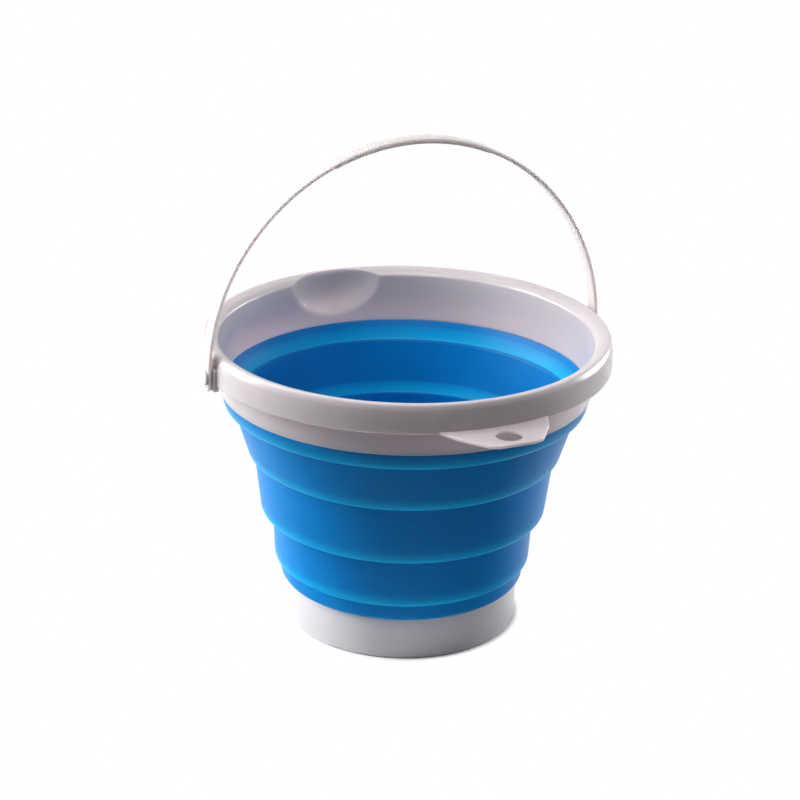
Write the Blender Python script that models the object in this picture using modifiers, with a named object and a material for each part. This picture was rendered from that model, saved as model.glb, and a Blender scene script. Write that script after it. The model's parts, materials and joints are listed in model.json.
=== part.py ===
"""Collapsible camp bucket: base cup, stepped folding wall, rim ring with spout and hang tab, swinging handle.

Metres, +Z up. The origin is the centre of the flat underside. +Y is the spout, -Y the hang tab, and the
handle turns about a line along X. At rest the bucket stands open with its handle upright.
"""

import math

import bmesh
import bpy
from mathutils import Matrix

# Clearances
touching_gap = 0.0003
cut_overrun = 0.0020

# Base cup
base_height = 0.0271
base_top_radius = 0.0750
base_taper = 0.0006
base_wall = 0.0024
base_floor = 0.0030
base_foot_edge = 0.0012
base_inner_fillet = 0.0060

# Folding wall: five tiers of one elastomer moulding. Each steps out over the one below and flares upwards
wall_thickness = 0.0022
tier_edge_radius = 0.0050
bottom_band_height = 0.0112
bottom_band_step = 0.0032
bottom_band_flare = 0.0012
lower_fold_height = 0.0334
lower_fold_step = 0.0030
lower_fold_flare = 0.0018
middle_band_height = 0.0388
middle_band_step = 0.0069
middle_band_flare = 0.0049
upper_fold_height = 0.0331
upper_fold_step = 0.0033
upper_fold_flare = 0.0102
collar_height = 0.0111
collar_step = 0.0048
collar_flare = 0.0030

# Rim ring
rim_height = 0.0372
rim_shoulder_drop = 0.0088
rim_mouth_drop = 0.0037
lip_height = 0.0187
lip_wall = 0.0022
lip_overhang = 0.0094
skirt_wall = 0.0019
skirt_flare = 0.0030
skirt_end_slope = 0.0026
crown_share = 0.784
crown_out_shares = ((0.00, 1.00), (0.35, 0.86), (0.65, 0.60), (0.88, 0.27), (1.00, 0.00))
crown_in_shares = ((0.00, 0.00), (0.33, 0.33), (0.75, 0.78))

# Pouring spout: a hollow scooped out of the rim's inner wall by a sphere
spout_radius = 0.0493
spout_land = 0.0042
spout_wall = 0.0022

# Hang tab under the lip
tab_length = 0.0270
tab_root_half_width = 0.0366
tab_tip_half_width = 0.0155
tab_thickness = 0.0020
tab_seat_depth = 0.0017
tab_corner_radius = 0.0070
tab_hole_radius = 0.0080
tab_hole_setback = 0.0128

# Handle ears, pins and handle
pivot_drop = 0.0137
ear_stand_out = 0.0017
ear_width = 0.0130
ear_height = 0.0144
ear_seat_depth = 0.0018
ear_foot_drop = 0.0082
pin_radius = 0.0030
pin_clearance = 0.0003
pin_head_overhang = 0.0018
pin_head_thickness = 0.0014
pin_barb_overhang = 0.0011
pin_barb_thickness = 0.0015
handle_width = 0.0105
handle_thickness = 0.0026
handle_ear_gap = 0.0004
handle_leg_rise = 0.0020
handle_leg_tail = 0.0085
handle_arch_rise = 0.1345
handle_edge_radius = 0.0005
grip_length = 0.1080
grip_extra_width = 0.0010
grip_extra_thickness = 0.0008
leg_end_shares = ((0.00, 0.42), (0.18, 0.80), (0.45, 1.00))

# Facet counts
ring_steps = 60
pin_steps = 20
corner_steps = 3
inner_corner_steps = 2
arch_steps = 42
sphere_steps = 56

# Heights, stacked from the rest face up
bottom_band_z = base_height + touching_gap
lower_fold_z = bottom_band_z + bottom_band_height + touching_gap
middle_band_z = lower_fold_z + lower_fold_height + touching_gap
upper_fold_z = middle_band_z + middle_band_height + touching_gap
collar_z = upper_fold_z + upper_fold_height + touching_gap
skirt_z = collar_z + collar_height + touching_gap
crown_z = skirt_z + rim_height
lip_z = crown_z - lip_height
pivot_z = crown_z - pivot_drop

# Radii, stepped outwards from the base to the lip
base_foot_radius = base_top_radius - base_taper
bottom_band_low_radius = base_top_radius + bottom_band_step
bottom_band_high_radius = bottom_band_low_radius + bottom_band_flare
lower_fold_low_radius = bottom_band_high_radius + lower_fold_step
lower_fold_high_radius = lower_fold_low_radius + lower_fold_flare
middle_band_low_radius = lower_fold_high_radius + middle_band_step
middle_band_high_radius = middle_band_low_radius + middle_band_flare
upper_fold_low_radius = middle_band_high_radius + upper_fold_step
upper_fold_high_radius = upper_fold_low_radius + upper_fold_flare
collar_low_radius = upper_fold_high_radius + collar_step
collar_high_radius = collar_low_radius + collar_flare
skirt_outer_radius = collar_high_radius + touching_gap
skirt_inner_radius = skirt_outer_radius - skirt_wall
skirt_top_radius = skirt_outer_radius + skirt_flare
rim_mouth_radius = skirt_top_radius - lip_wall
rim_radius = skirt_top_radius + lip_overhang
rim_crown_radius = rim_mouth_radius + crown_share * (rim_radius - rim_mouth_radius)

# Places on the lip
spout_centre_reach = rim_radius - spout_land - spout_radius
tab_reach = rim_radius + tab_length
tab_hole_reach = tab_reach - tab_hole_setback
ear_face_reach = rim_radius + ear_stand_out

# Handle places that follow the ears
handle_reach = ear_face_reach + handle_ear_gap + handle_thickness / 2
pin_head_face = handle_reach + handle_thickness / 2 + touching_gap

SHELL_WHITE = ("shell_white", (0.62, 0.58, 0.56, 1.0), 0.25)
FOLD_BLUE = ("fold_blue", (0.01, 0.25, 0.62, 1.0), 0.35)
PIN_GREY = ("pin_grey", (0.45, 0.42, 0.40, 1.0), 0.35)


def clear_scene():
    for thing in list(bpy.data.objects):
        bpy.data.objects.remove(thing, do_unlink=True)


def new_collection(name):
    collection = bpy.data.collections.new(name)
    bpy.context.scene.collection.children.link(collection)
    return collection


def plastic(name, colour, roughness):
    """A plain moulded plastic with no metal in it."""
    material = bpy.data.materials.new(name)
    material.use_nodes = True
    shader = material.node_tree.nodes["Principled BSDF"]
    shader.inputs["Base Color"].default_value = colour
    shader.inputs["Roughness"].default_value = roughness
    shader.inputs["Metallic"].default_value = 0.0
    return material


def add_object(name, mesh, collection, finish=None):
    thing = bpy.data.objects.new(name, mesh)
    collection.objects.link(thing)
    if finish:
        mesh.materials.append(plastic(name + "_" + finish[0], finish[1], finish[2]))
    else:
        thing.hide_render = True
        thing.display_type = "WIRE"
    return thing


def mesh_of(name, shape):
    mesh = bpy.data.meshes.new(name)
    shape.to_mesh(mesh)
    shape.free()
    return mesh


def arc_points(centre, radius, start, end, steps=corner_steps):
    """Points (radius, height) of an arc in the turning plane, from one angle to the other in degrees."""
    turns = [math.radians(start + (end - start) * step / steps) for step in range(steps + 1)]
    return [(centre[0] + radius * math.cos(turn), centre[1] + radius * math.sin(turn)) for turn in turns]


def turned(name, profile, collection, finish=None, steps=ring_steps, ring=True):
    """A solid turned about Z. The profile runs down its outer side, and a ring's profile closes on itself."""
    shape = bmesh.new()
    points = [shape.verts.new((radius, 0, height)) for radius, height in profile]
    for first, second in zip(points, points[1:]):
        shape.edges.new((first, second))
    if ring:
        shape.edges.new((points[-1], points[0]))
    thing = add_object(name, mesh_of(name, shape), collection, finish)
    screw = thing.modifiers.new("turn", "SCREW")
    screw.axis = "Z"
    screw.angle = math.tau
    screw.steps = steps
    screw.render_steps = steps
    screw.use_merge_vertices = True
    screw.merge_threshold = touching_gap / 10
    screw.use_smooth_shade = True
    return thing


def combine(thing, other, operation):
    cut = thing.modifiers.new(operation.lower() + "_" + other.name, "BOOLEAN")
    cut.operation = operation
    cut.solver = "EXACT"
    cut.object = other


def box(name, low, high, collection, finish=None):
    shape = bmesh.new()
    bmesh.ops.create_cube(shape, size=1)
    size = [top - bottom for bottom, top in zip(low, high)]
    centre = [(top + bottom) / 2 for bottom, top in zip(low, high)]
    bmesh.ops.scale(shape, vec=size, verts=shape.verts)
    bmesh.ops.translate(shape, vec=centre, verts=shape.verts)
    return add_object(name, mesh_of(name, shape), collection, finish)


def sphere(name, radius, centre, collection):
    shape = bmesh.new()
    bmesh.ops.create_uvsphere(shape, u_segments=sphere_steps, v_segments=sphere_steps // 2, radius=radius)
    bmesh.ops.translate(shape, vec=centre, verts=shape.verts)
    return add_object(name, mesh_of(name, shape), collection)


def rod(name, radius, start, end, collection):
    """A cutter: a cylinder along X or Z between two points."""
    length = sum(abs(last - first) for first, last in zip(start, end))
    middle = [(first + last) / 2 for first, last in zip(start, end)]
    turn = Matrix.Rotation(math.pi / 2, 4, "Y") if start[2] == end[2] else Matrix.Identity(4)
    shape = bmesh.new()
    sides = pin_steps * 2
    bmesh.ops.create_cone(
        shape, cap_ends=True, segments=sides, radius1=radius, radius2=radius, depth=length, matrix=turn
    )
    bmesh.ops.translate(shape, vec=middle, verts=shape.verts)
    return add_object(name, mesh_of(name, shape), collection)


def base_cup_profile():
    top_inner = base_top_radius - base_wall
    foot_inner = base_foot_radius - base_wall
    fillet = min(base_inner_fillet, base_height - base_floor, foot_inner)
    edge = min(base_foot_edge, base_floor)
    lean = (base_top_radius - base_foot_radius) / base_height
    inner_start = foot_inner + lean * (base_floor + fillet)
    outer_end = base_foot_radius + lean * edge
    return (
        [(0, base_floor)]
        + arc_points((inner_start - fillet, base_floor + fillet), fillet, -90, 0)
        + [(top_inner, base_height), (base_top_radius, base_height)]
        + arc_points((outer_end - edge, edge), edge, 0, -90)
        + [(0, 0)]
    )


def tier_profile(low_z, height, low_radius, high_radius, ledge_radius):
    """One tier: a leaning wall whose rounded lower edge turns in to a ledge that ends at ledge_radius."""
    edge = min(tier_edge_radius, low_radius - ledge_radius, height - wall_thickness)
    inner_edge = max(edge - wall_thickness, touching_gap)
    centre = (low_radius - edge, low_z + edge)
    inner_centre = (centre[0], low_z + wall_thickness + inner_edge)
    return (
        [(high_radius, low_z + height)]
        + arc_points(centre, edge, 0, -90)
        + [(ledge_radius, low_z), (ledge_radius, low_z + wall_thickness)]
        + arc_points(inner_centre, inner_edge, -90, 0, inner_corner_steps)
        + [(high_radius - wall_thickness, low_z + height)]
    )


def collar_profile():
    """The top tier, whose upper end slopes to meet the rim's skirt flush inside and out."""
    ledge_radius = upper_fold_high_radius - wall_thickness
    profile = tier_profile(collar_z, collar_height, collar_low_radius, collar_high_radius, ledge_radius)
    top_inner = (skirt_inner_radius - touching_gap, collar_z + collar_height + skirt_end_slope)
    return profile[:-1] + [top_inner]


def rim_profile():
    shoulder_z = crown_z - rim_shoulder_drop
    mouth_z = crown_z - rim_mouth_drop
    out_reach = rim_radius - rim_crown_radius
    in_reach = rim_crown_radius - rim_mouth_radius
    crown_out = [
        (rim_crown_radius + share * out_reach, shoulder_z + rise * rim_shoulder_drop)
        for share, rise in crown_out_shares
    ]
    crown_in = [
        (rim_mouth_radius + share * in_reach, mouth_z + rise * rim_mouth_drop)
        for share, rise in crown_in_shares
    ]
    groove_outer = rim_radius - lip_wall
    groove_roof = crown_z - rim_mouth_drop - lip_wall
    groove_corner = (groove_outer - skirt_top_radius) / 3
    groove_top = groove_roof + crown_share * rim_mouth_drop
    return (
        crown_out
        + [(rim_radius, lip_z), (groove_outer, lip_z), (groove_outer, groove_top - 2 * groove_corner)]
        + [(groove_outer - groove_corner, groove_top), (skirt_top_radius + groove_corner / 2, groove_roof)]
        + [(skirt_top_radius, groove_roof - groove_corner), (skirt_top_radius, lip_z)]
        + [(skirt_outer_radius, skirt_z), (skirt_inner_radius, skirt_z + skirt_end_slope)]
        + crown_in
    )


def spout_backing_profile():
    """The ring that the spout's outer sphere is kept to: inside the lip, and outside the rim's inner wall."""
    inside = skirt_inner_radius + spout_wall / 4
    mouth = rim_mouth_radius + spout_wall / 4
    outside = rim_radius - lip_wall / 2
    shoulder_z = crown_z - rim_shoulder_drop
    return [
        (mouth, shoulder_z),
        (outside, shoulder_z),
        (outside, lip_z),
        (outside, skirt_z + skirt_end_slope),
        (inside, skirt_z + skirt_end_slope),
    ]


def tab_plate(collection):
    """The tab's flat outline, rounded at the two outer corners, set just into the lip's lower edge."""
    root_reach = math.sqrt(rim_radius**2 - tab_root_half_width**2) - lip_wall / 2
    top = lip_z + tab_seat_depth
    slant = math.atan2(tab_reach - root_reach, tab_root_half_width - tab_tip_half_width)
    corner = min(tab_corner_radius, tab_tip_half_width)
    centre = (tab_tip_half_width - corner * math.tan(slant / 2), corner - tab_reach)
    tip_turn = 180 - math.degrees(slant)
    side = [(tab_root_half_width, -root_reach)]
    side += arc_points(centre, corner, tip_turn - 90, -90, corner_steps * 2)
    outline = [(0, -skirt_top_radius + lip_wall)] + side + [(-x, y) for x, y in reversed(side)]
    curve = bpy.data.curves.new("tab_outline", "CURVE")
    curve.dimensions = "2D"
    curve.fill_mode = "BOTH"
    curve.extrude = tab_thickness / 2
    line = curve.splines.new("POLY")
    line.points.add(len(outline) - 1)
    for point, (x, y) in zip(line.points, outline):
        point.co = (x, y, 0, 1)
    line.use_cyclic_u = True
    guide = bpy.data.objects.new("tab_outline", curve)
    collection.objects.link(guide)
    guide.location = (0, 0, top - tab_thickness / 2)
    return curve_to_mesh("tab_plate", guide, collection)


def curve_to_mesh(name, guide, collection):
    """The closed mesh of a curve object, which it replaces."""
    bpy.context.view_layer.update()
    graph = bpy.context.evaluated_depsgraph_get()
    mesh = bpy.data.meshes.new_from_object(guide.evaluated_get(graph))
    shape = bmesh.new()
    shape.from_mesh(mesh)
    bmesh.ops.remove_doubles(shape, verts=shape.verts, dist=touching_gap / 10)
    bmesh.ops.recalc_face_normals(shape, faces=shape.faces)
    shape.to_mesh(mesh)
    shape.free()
    thing = add_object(name, mesh, collection)
    thing.matrix_world = guide.matrix_world.copy()
    bpy.data.objects.remove(guide, do_unlink=True)
    return thing


def rim_ring(parts, cutters):
    """The rim ring: skirt and rolled lip, spout, hang tab, and one ear for each end of the handle."""
    ring = turned("rim_ring", rim_profile(), parts, SHELL_WHITE)
    centre = (0, spout_centre_reach, crown_z)
    backing = turned("spout_backing", spout_backing_profile(), cutters)
    combine(backing, sphere("spout_outside", spout_radius + spout_wall, centre, cutters), "INTERSECT")
    combine(ring, backing, "UNION")
    combine(ring, sphere("spout_hollow", spout_radius, centre, cutters), "DIFFERENCE")
    combine(ring, tab_plate(cutters), "UNION")
    tab_low = (0, -tab_hole_reach, lip_z - tab_thickness - cut_overrun)
    tab_high = (0, -tab_hole_reach, lip_z + tab_seat_depth + cut_overrun)
    combine(ring, rod("tab_hole", tab_hole_radius, tab_low, tab_high, cutters), "DIFFERENCE")
    for side, end in ((-1, "left"), (1, "right")):
        inner, outer = side * (rim_radius - ear_seat_depth), side * ear_face_reach
        low = (min(inner, outer), -ear_width / 2, pivot_z - ear_foot_drop)
        high = (max(inner, outer), ear_width / 2, pivot_z - ear_foot_drop + ear_height)
        combine(ring, box("ear_" + end, low, high, cutters), "UNION")
        bore_in = (side * (rim_radius - lip_wall - cut_overrun), 0, pivot_z)
        bore_out = (side * (ear_face_reach + cut_overrun), 0, pivot_z)
        bore = rod("ear_bore_" + end, pin_radius + pin_clearance, bore_in, bore_out, cutters)
        combine(ring, bore, "DIFFERENCE")
    return ring


def pivot_pin(end, side, parts):
    """A snap pin turned about X: head outside the handle, barb behind the lip."""
    barb_face = rim_radius - lip_wall - 2 * touching_gap
    head_top = pin_head_face + pin_head_thickness
    head_radius = pin_radius + pin_head_overhang
    chamfer = pin_head_thickness / 3
    profile = [
        (0, head_top),
        (head_radius - chamfer, head_top),
        (head_radius, head_top - chamfer),
        (head_radius, pin_head_face),
        (pin_radius, pin_head_face),
        (pin_radius, barb_face),
        (pin_radius + pin_barb_overhang, barb_face),
        (pin_radius, barb_face - pin_barb_thickness),
        (0, barb_face - pin_barb_thickness),
    ]
    pin = turned("pivot_pin_" + end, profile, parts, PIN_GREY, pin_steps, ring=False)
    pin.rotation_euler = (0, side * math.pi / 2, 0)
    pin.location = (0, 0, pivot_z)
    return pin


def arch_point(turn, rise):
    """A point of the handle's centre line, from its height above the pivot axis, at a turn from +X."""
    return (handle_reach * math.cos(turn), 0, pivot_z + rise + handle_arch_rise * math.sin(turn))


def strip(name, stations, thickness, collection, finish=None):
    """A flat strip from (point, half width) stations, thickened to both sides, with a small edge radius."""
    shape = bmesh.new()
    line = [shape.verts.new(point) for point, half in stations]
    edges = [shape.edges.new(pair) for pair in zip(line, line[1:])]
    made = bmesh.ops.extrude_edge_only(shape, edges=edges)["geom"]
    far = [item for item in made if isinstance(item, bmesh.types.BMVert)]
    by_place = {(round(vert.co.x / touching_gap), round(vert.co.z / touching_gap)): vert for vert in far}
    for vert, (point, half) in zip(line, stations):
        partner = by_place[(round(vert.co.x / touching_gap), round(vert.co.z / touching_gap))]
        vert.co.y = -half
        partner.co.y = half
    bmesh.ops.recalc_face_normals(shape, faces=shape.faces)
    thing = add_object(name, mesh_of(name, shape), collection, finish)
    wall = thing.modifiers.new("thickness", "SOLIDIFY")
    wall.thickness = thickness
    wall.offset = 0
    wall.use_even_offset = True
    edge = thing.modifiers.new("edges", "BEVEL")
    edge.width = handle_edge_radius
    edge.segments = 1
    edge.limit_method = "ANGLE"
    edge.angle_limit = math.radians(60)
    return thing


def carry_handle(parts, cutters):
    """The handle: a flat band bent to an arch, with a thicker grip and an end plate at each pin."""
    half = handle_width / 2
    leg_length = handle_leg_rise + handle_leg_tail
    foot_z = pivot_z - handle_leg_tail
    leg = [((handle_reach, 0, foot_z + share * leg_length), half * width) for share, width in leg_end_shares]
    arch_turns = [math.pi * step / arch_steps for step in range(arch_steps + 1)]
    arch = [(arch_point(turn, handle_leg_rise), half) for turn in arch_turns]
    far_leg = [((-x, y, z), width) for (x, y, z), width in reversed(leg)]
    band = strip("carry_handle", leg + arch + far_leg, handle_thickness, parts, SHELL_WHITE)
    grip_turn = grip_length / (handle_reach + handle_arch_rise)
    grip_steps = arch_steps // 3
    turns = [math.pi / 2 + grip_turn * (2 * step / grip_steps - 1) for step in range(grip_steps + 1)]
    stations = [(arch_point(turn, handle_leg_rise), half + grip_extra_width / 2) for turn in turns]
    combine(band, strip("grip", stations, handle_thickness + grip_extra_thickness, cutters), "UNION")
    for side, end in ((-1, "left"), (1, "right")):
        inner = (side * (handle_reach - handle_thickness - cut_overrun), 0, pivot_z)
        outer = (side * (handle_reach + handle_thickness + cut_overrun), 0, pivot_z)
        eye = rod("handle_eye_" + end, pin_radius + pin_clearance, inner, outer, cutters)
        combine(band, eye, "DIFFERENCE")
    return band


def build():
    clear_scene()
    parts = new_collection("collapsible_camp_bucket")
    cutters = new_collection("cutters")
    turned("base_cup", base_cup_profile(), parts, SHELL_WHITE, ring=False)
    tiers = (
        ("wall_bottom_band", bottom_band_z, bottom_band_height, bottom_band_low_radius,
         bottom_band_high_radius, base_top_radius - base_wall),
        ("wall_lower_fold", lower_fold_z, lower_fold_height, lower_fold_low_radius,
         lower_fold_high_radius, bottom_band_high_radius - wall_thickness),
        ("wall_middle_band", middle_band_z, middle_band_height, middle_band_low_radius,
         middle_band_high_radius, lower_fold_high_radius - wall_thickness),
        ("wall_upper_fold", upper_fold_z, upper_fold_height, upper_fold_low_radius,
         upper_fold_high_radius, middle_band_high_radius - wall_thickness),
    )
    for name, *sizes in tiers:
        turned(name, tier_profile(*sizes), parts, FOLD_BLUE)
    turned("wall_top_collar", collar_profile(), parts, FOLD_BLUE)
    rim_ring(parts, cutters)
    for side, end in ((-1, "left"), (1, "right")):
        pivot_pin(end, side, parts)
    carry_handle(parts, cutters)


build()
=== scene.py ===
"""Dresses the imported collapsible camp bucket: base, folding wall, rim, pins, handle and a plain studio.

Every length is in metres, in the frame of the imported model: +Z up, +Y towards the spout, X along the pivots.
"""

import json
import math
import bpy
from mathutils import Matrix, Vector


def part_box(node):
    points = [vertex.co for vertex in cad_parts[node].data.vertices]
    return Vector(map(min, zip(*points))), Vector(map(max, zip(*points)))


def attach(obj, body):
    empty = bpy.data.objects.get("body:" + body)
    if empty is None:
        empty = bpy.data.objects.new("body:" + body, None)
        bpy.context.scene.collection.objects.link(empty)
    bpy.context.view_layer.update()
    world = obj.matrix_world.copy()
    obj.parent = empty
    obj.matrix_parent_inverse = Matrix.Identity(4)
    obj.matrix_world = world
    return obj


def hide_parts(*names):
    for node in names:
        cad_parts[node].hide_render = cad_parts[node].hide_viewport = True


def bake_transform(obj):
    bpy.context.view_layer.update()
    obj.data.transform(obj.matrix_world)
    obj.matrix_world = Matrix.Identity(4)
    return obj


bl_info = {
    "name": "Collapsible camp bucket",
    "version": (1, 0, 0),
    "blender": (4, 5, 0),
    "location": "3D View > Sidebar > Bucket",
    "description": "Builds the bucket's finished pieces over the packed frame, and a plain studio round them",
    "category": "Add Mesh",
}

import bmesh
import bpy
from bpy.props import FloatProperty, FloatVectorProperty, PointerProperty
from mathutils import Matrix, Vector

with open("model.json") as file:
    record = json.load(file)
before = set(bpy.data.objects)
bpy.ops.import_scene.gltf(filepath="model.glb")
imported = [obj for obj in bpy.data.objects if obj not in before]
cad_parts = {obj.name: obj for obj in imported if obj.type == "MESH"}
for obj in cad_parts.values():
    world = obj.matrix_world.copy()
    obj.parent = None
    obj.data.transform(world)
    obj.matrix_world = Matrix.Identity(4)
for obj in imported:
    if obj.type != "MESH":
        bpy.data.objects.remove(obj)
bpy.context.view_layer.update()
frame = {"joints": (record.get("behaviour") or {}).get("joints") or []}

# Facets
RING_STEPS = 192
RIM_STEPS = 288
PIN_STEPS = 48
HOLE_STEPS = 144
ROUND_SEGMENTS = 6
EDGE_SEGMENTS = 4
TAB_EDGE_SEGMENTS = 3
SHARP_ANGLE = math.radians(38)
MERGE_DISTANCE = 0.000002

# Plastics: the height of their fine skin, and the unit of the depths to which light goes in
SKIN_HEIGHT = 0.000008
SOFT_UNIT = 0.01

# What the frame says
PIVOT_Z = next(joint["pos_m"][2] for joint in frame["joints"] if joint["name"] == "handle_swing")
RIM_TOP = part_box("rim_ring")[1].z
RIM_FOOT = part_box("rim_ring")[0].z
BASE_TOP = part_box("base_cup")[1].z
BASE_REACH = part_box("base_cup")[1].x

# The wall's tiers from the base up, and how far each one flares outwards over its height
TIER_FLARES = {
    "wall_bottom_band": 0.0012,
    "wall_lower_fold": 0.0018,
    "wall_middle_band": 0.0049,
    "wall_upper_fold": 0.0102,
    "wall_top_collar": 0.0030,
}


def low_z(node):
    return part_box(node)[0].z


def high_z(node):
    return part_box(node)[1].z


def reach(node):
    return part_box(node)[1].x


# Mesh making


def round_off(shape, geom, amount, segments, affect):
    bmesh.ops.bevel(
        shape, geom=geom, offset=amount, offset_type="OFFSET", segments=segments, profile=0.5, affect=affect,
        material=-1,
    )


def profile_wire(shape, corners, closed):
    """The edges of a turning profile in the XZ plane, from (radius, height, rounding) corners."""
    points = [shape.verts.new((radius, 0, height)) for radius, height, rounding in corners]
    pairs = list(zip(points, points[1:]))
    if closed:
        pairs.append((points[-1], points[0]))
    for pair in pairs:
        shape.edges.new(pair)
    for amount in sorted({rounding for radius, height, rounding in corners if rounding}):
        chosen = [point for point, corner in zip(points, corners) if corner[2] == amount]
        round_off(shape, chosen, amount, ROUND_SEGMENTS, "VERTICES")


def split_long_edges(shape, longest, low=-1.0, high=1.0):
    """Cuts each profile edge between two heights into pieces of at most the given length."""
    cuts = {}
    for edge in shape.edges:
        middle = (edge.verts[0].co.z + edge.verts[1].co.z) / 2
        count = math.ceil(edge.calc_length() / longest) - 1
        if count > 0 and low <= middle <= high:
            cuts.setdefault(count, []).append(edge)
    for count, edges in cuts.items():
        bmesh.ops.subdivide_edges(shape, edges=edges, cuts=count)


def turn_profile(shape, steps):
    """Spins the profile once round Z and closes its seam and poles."""
    bmesh.ops.spin(
        shape, geom=shape.verts[:] + shape.edges[:], cent=(0, 0, 0), axis=(0, 0, 1), dvec=(0, 0, 0),
        angle=math.tau, steps=steps, use_merge=True, use_duplicate=False,
    )
    bmesh.ops.remove_doubles(shape, verts=shape.verts[:], dist=MERGE_DISTANCE)
    bmesh.ops.recalc_face_normals(shape, faces=shape.faces[:])


def make_piece(name, shape, material=None):
    """An object at the origin from a finished bmesh, smooth but for its sharp edges."""
    mesh = bpy.data.meshes.new(name)
    shape.to_mesh(mesh)
    shape.free()
    mesh.shade_smooth()
    mesh.set_sharp_from_angle(angle=SHARP_ANGLE)
    thing = bpy.data.objects.new(name, mesh)
    bpy.context.scene.collection.objects.link(thing)
    if material:
        mesh.materials.append(material)
    return thing


def boolean(thing, other, operation):
    """Joins or cuts a piece with another one, which is used up."""
    cut = thing.modifiers.new(operation.lower(), "BOOLEAN")
    cut.operation = operation
    cut.solver = "EXACT"
    cut.object = other
    bpy.context.view_layer.update()
    graph = bpy.context.evaluated_depsgraph_get()
    made = bpy.data.meshes.new_from_object(thing.evaluated_get(graph))
    thing.modifiers.clear()
    name, used = thing.data.name, thing.data
    thing.data = made
    bpy.data.meshes.remove(used)
    made.name = name
    made.shade_smooth()
    made.set_sharp_from_angle(angle=SHARP_ANGLE)
    bpy.data.objects.remove(other, do_unlink=True)


def each_once(items):
    """The items in the order in which they first come, which a set doesn't keep from run to run."""
    return list(dict.fromkeys(items))


def only(items, kind):
    return [item for item in items if isinstance(item, kind)]


def rounded_box(shape, low, high, rounding):
    """Adds a box with rounded edges to a bmesh."""
    size = Vector(high) - Vector(low)
    place = Matrix.Translation((Vector(high) + Vector(low)) / 2) @ Matrix.Diagonal((*size, 1))
    made = bmesh.ops.create_cube(shape, size=1, matrix=place)["verts"]
    edges = each_once(edge for vert in made for edge in vert.link_edges)
    round_off(shape, edges, rounding, EDGE_SEGMENTS, "EDGES")


def cut_bores(piece, name, pins, inner, outer):
    """Cuts a round bore along X for the pin on each side, between two distances from the axis."""
    bores = bmesh.new()
    radius = pins.pin_radius + pins.pin_clearance
    for side in (-1, 1):
        place = Matrix.Translation((side * (inner + outer) / 2, 0, PIVOT_Z))
        bmesh.ops.create_cone(
            bores, cap_ends=True, segments=PIN_STEPS, radius1=radius, radius2=radius, depth=outer - inner,
            matrix=place @ Matrix.Rotation(math.pi / 2, 4, "Y"),
        )
    boolean(piece, make_piece(name, bores), "DIFFERENCE")


# Node groups and materials


def new_group(name, inputs, outputs):
    """An empty shader node group with named float or colour sockets."""
    group = bpy.data.node_groups.new(name, "ShaderNodeTree")
    for direction, sockets in (("INPUT", inputs), ("OUTPUT", outputs)):
        for label, kind, default in sockets:
            socket = group.interface.new_socket(name=label, in_out=direction, socket_type="NodeSocket" + kind)
            socket.default_value = default
    return group, group.nodes.new("NodeGroupInput"), group.nodes.new("NodeGroupOutput")


def add_node(tree, kind, values=None, **settings):
    """A node with its settings and the values of its unlinked inputs."""
    node = tree.nodes.new(kind)
    for key, value in settings.items():
        setattr(node, key, value)
    for socket, value in (values or {}).items():
        node.inputs[socket].default_value = value
    return node


def wire(tree, *rows):
    """Links nodes: each row is a node, its output, the next node and its input."""
    for source, output, target, socket in rows:
        tree.links.new(source.outputs[output], target.inputs[socket])


def moulded_skin_group():
    """Slow changes of shade and gloss over a moulding, with a fine skin from its tool."""
    found = bpy.data.node_groups.get("moulded_skin")
    if found:
        return found
    group, given, result = new_group(
        "moulded_skin",
        (
            ("Colour", "Color", (0.8, 0.8, 0.8, 1)),
            ("Shade", "Color", (0.7, 0.7, 0.7, 1)),
            ("Roughness", "Float", 0.3),
            ("Gloss Change", "Float", 0.05),
            ("Skin Scale", "Float", 900.0),
        ),
        (("Colour", "Color", (1, 1, 1, 1)), ("Roughness", "Float", 0.3), ("Height", "Float", 0.0)),
    )
    place = add_node(group, "ShaderNodeTexCoord")
    slow = add_node(group, "ShaderNodeTexNoise", {"Scale": 14.0, "Detail": 3.0, "Roughness": 0.5})
    cloud = add_node(group, "ShaderNodeTexNoise", {"Scale": 70.0, "Detail": 4.0, "Roughness": 0.6})
    fine = add_node(group, "ShaderNodeTexNoise", {"Detail": 0.0, "Roughness": 0.5})
    spread = add_node(group, "ShaderNodeMapRange", {"From Min": 0.38, "From Max": 0.66})
    shade = add_node(group, "ShaderNodeMix", data_type="RGBA", clamp_factor=True)
    centred = add_node(group, "ShaderNodeMath", {1: 0.5}, operation="SUBTRACT")
    gloss = add_node(group, "ShaderNodeMath", operation="MULTIPLY_ADD")
    wire(
        group,
        (place, "Object", slow, "Vector"),
        (place, "Object", cloud, "Vector"),
        (place, "Object", fine, "Vector"),
        (given, "Skin Scale", fine, "Scale"),
        (slow, "Fac", spread, "Value"),
        (spread, "Result", shade, "Factor"),
        (given, "Colour", shade, "A"),
        (given, "Shade", shade, "B"),
        (cloud, "Fac", centred, 0),
        (centred, "Value", gloss, 0),
        (given, "Gloss Change", gloss, 1),
        (given, "Roughness", gloss, 2),
        (shade, "Result", result, "Colour"),
        (gloss, "Value", result, "Roughness"),
        (fine, "Fac", result, "Height"),
    )
    return group


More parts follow.
